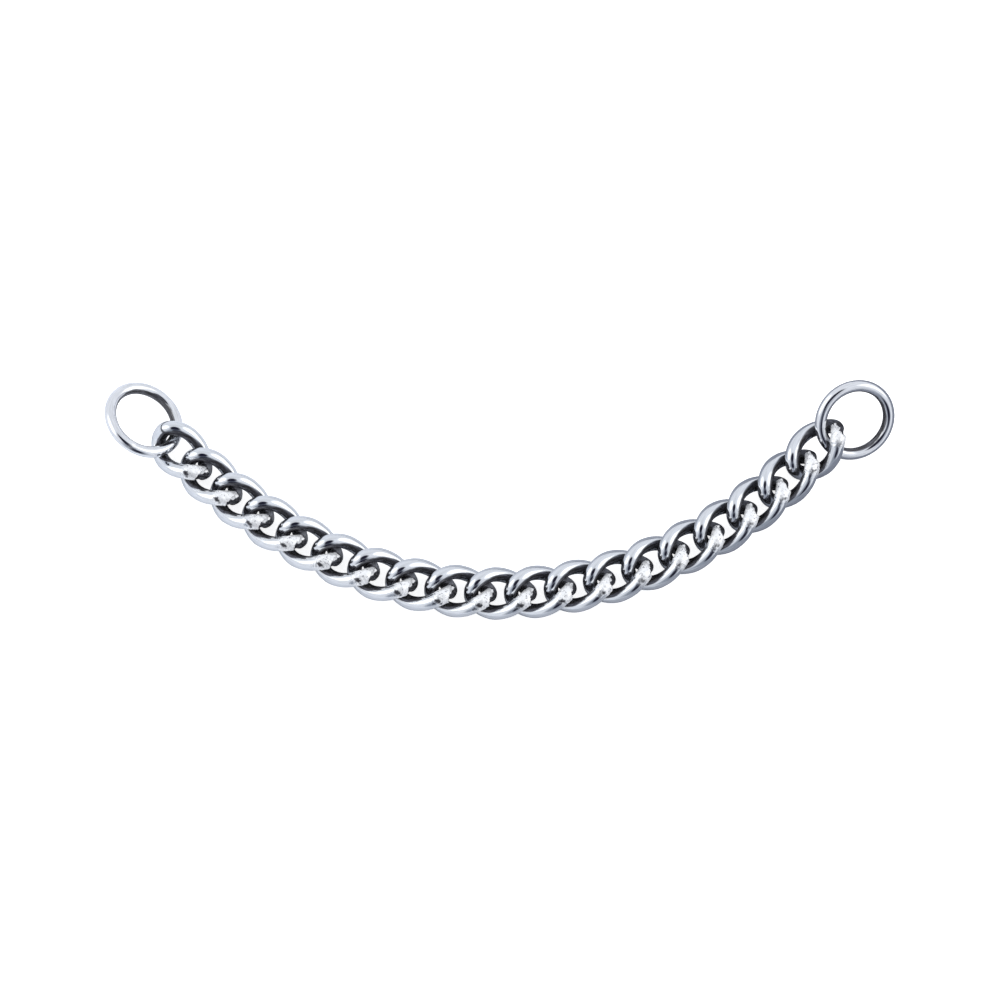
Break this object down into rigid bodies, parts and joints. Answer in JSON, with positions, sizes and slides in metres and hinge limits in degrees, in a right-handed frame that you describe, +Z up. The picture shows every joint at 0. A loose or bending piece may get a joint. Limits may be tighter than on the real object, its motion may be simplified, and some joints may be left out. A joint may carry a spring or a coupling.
{
  "type": "curb chain",
  "caption": "Flat-lying chain of twisted oval wire links with a plain round ring at each end, the strap of a curb bit.",
  "frame": {"origin": "on the ground plane under the middle of the whole chain's box", "axes": "+X along the chain from the left ring to the right ring, +Y to the open side of its curve, +Z up from the ground that it lies on"},
  "size_m": [0.2102, 0.0644, 0.015],
  "materials": {
    "link_metal": "polished",
    "ring_metal": "polished"
  },
  "bodies": {
    "left_ring": {"left_ring": "ring_metal"},
    "link_01": {"link_01": "link_metal"},
    "link_02": {"link_02": "link_metal"},
    "link_03": {"link_03": "link_metal"},
    "link_04": {"link_04": "link_metal"},
    "link_05": {"link_05": "link_metal"},
    "link_06": {"link_06": "link_metal"},
    "link_07": {"link_07": "link_metal"},
    "link_08": {"link_08": "link_metal"},
    "link_09": {"link_09": "link_metal"},
    "link_10": {"link_10": "link_metal"},
    "link_11": {"link_11": "link_metal"},
    "link_12": {"link_12": "link_metal"},
    "link_13": {"link_13": "link_metal"},
    "link_14": {"link_14": "link_metal"},
    "link_15": {"link_15": "link_metal"},
    "link_16": {"link_16": "link_metal"},
    "link_17": {"link_17": "link_metal"},
    "link_18": {"link_18": "link_metal"},
    "link_19": {"link_19": "link_metal"},
    "right_ring": {"right_ring": "ring_metal"}
  },
  "joints": [
    {"name": "link_11_curl", "type": "hinge", "parent": "link_10", "child": "link_11", "pos_m": [0.00542, -0.02529, 0.00472], "axis": [0.0536, -0.9986, 0], "range_deg": [-20, 20]},
    {"name": "link_12_bend", "type": "hinge", "parent": "link_11", "child": "link_12", "pos_m": [0.01596, -0.02418, 0.00472], "axis": [0, 0, 1], "range_deg": [-23.9, 12.1]},
    {"name": "link_13_curl", "type": "hinge", "parent": "link_12", "child": "link_13", "pos_m": [0.02633, -0.02199, 0.00472], "axis": [0.2551, -0.9669, 0], "range_deg": [-20, 20]},
    {"name": "link_14_bend", "type": "hinge", "parent": "link_13", "child": "link_14", "pos_m": [0.03643, -0.01878, 0.00472], "axis": [0, 0, 1], "range_deg": [-23.4, 12.6]},
    {"name": "link_15_curl", "type": "hinge", "parent": "link_14", "child": "link_15", "pos_m": [0.04619, -0.01463, 0.00472], "axis": [0.4313, -0.9022, 0], "range_deg": [-20, 20]},
    {"name": "link_16_bend", "type": "hinge", "parent": "link_15", "child": "link_16", "pos_m": [0.05554, -0.00964, 0.00472], "axis": [0, 0, 1], "range_deg": [-23, 13]},
    {"name": "link_17_curl", "type": "hinge", "parent": "link_16", "child": "link_17", "pos_m": [0.06442, -0.00385, 0.00472], "axis": [0.5817, -0.8134, 0], "range_deg": [-20, 20]},
    {"name": "link_18_bend", "type": "hinge", "parent": "link_17", "child": "link_18", "pos_m": [0.07277, 0.00268, 0.00472], "axis": [0, 0, 1], "range_deg": [-23, 13]},
    {"name": "link_19_curl", "type": "hinge", "parent": "link_18", "child": "link_19", "pos_m": [0.08051, 0.00992, 0.00476], "axis": [0.6956, -0.7185, 0], "range_deg": [-33, 7]},
    {"name": "link_09_curl", "type": "hinge", "parent": "link_10", "child": "link_09", "pos_m": [-0.00518, -0.02531, 0.00473], "axis": [0.0502, 0.9987, 0], "range_deg": [-20, 20]},
    {"name": "link_08_bend", "type": "hinge", "parent": "link_09", "child": "link_08", "pos_m": [-0.01573, -0.02423, 0.00476], "axis": [0, 0, -1], "range_deg": [-23.9, 12.1]},
    {"name": "link_07_curl", "type": "hinge", "parent": "link_08", "child": "link_07", "pos_m": [-0.0261, -0.02208, 0.00478], "axis": [0.2519, 0.9678, 0], "range_deg": [-20, 20]},
    {"name": "link_06_bend", "type": "hinge", "parent": "link_07", "child": "link_06", "pos_m": [-0.03622, -0.0189, 0.0048], "axis": [0, 0, -1], "range_deg": [-23.4, 12.6]},
    {"name": "link_05_curl", "type": "hinge", "parent": "link_06", "child": "link_05", "pos_m": [-0.04598, -0.01478, 0.00483], "axis": [0.4287, 0.9035, 0], "range_deg": [-20, 20]},
    {"name": "link_04_bend", "type": "hinge", "parent": "link_05", "child": "link_04", "pos_m": [-0.05535, -0.00982, 0.00485], "axis": [0, 0, -1], "range_deg": [-22.6, 13.4]},
    {"name": "link_03_curl", "type": "hinge", "parent": "link_04", "child": "link_03", "pos_m": [-0.06429, -0.00412, 0.00487], "axis": [0.5688, 0.8224, 0], "range_deg": [-20, 20]},
    {"name": "link_02_bend", "type": "hinge", "parent": "link_03", "child": "link_02", "pos_m": [-0.07278, 0.00223, 0.00489], "axis": [0, 0, -1], "range_deg": [-21.8, 14.2]},
    {"name": "link_01_curl", "type": "hinge", "parent": "link_02", "child": "link_01", "pos_m": [-0.08082, 0.00913, 0.00492], "axis": [0.6732, 0.7395, 0], "range_deg": [-20, 20]},
    {"name": "left_ring_swing", "type": "hinge", "parent": "link_01", "child": "left_ring", "pos_m": [-0.09129, 0.01924, 0.00493], "axis": [0.199, 0.5782, 0.7912], "range_deg": [-12, 60]},
    {"name": "right_ring_swing", "type": "hinge", "parent": "link_19", "child": "right_ring", "pos_m": [0.08949, 0.01892, 0.00774], "axis": [-0.0426, 0.6617, -0.7485], "range_deg": [-30, 48]}
  ]
}
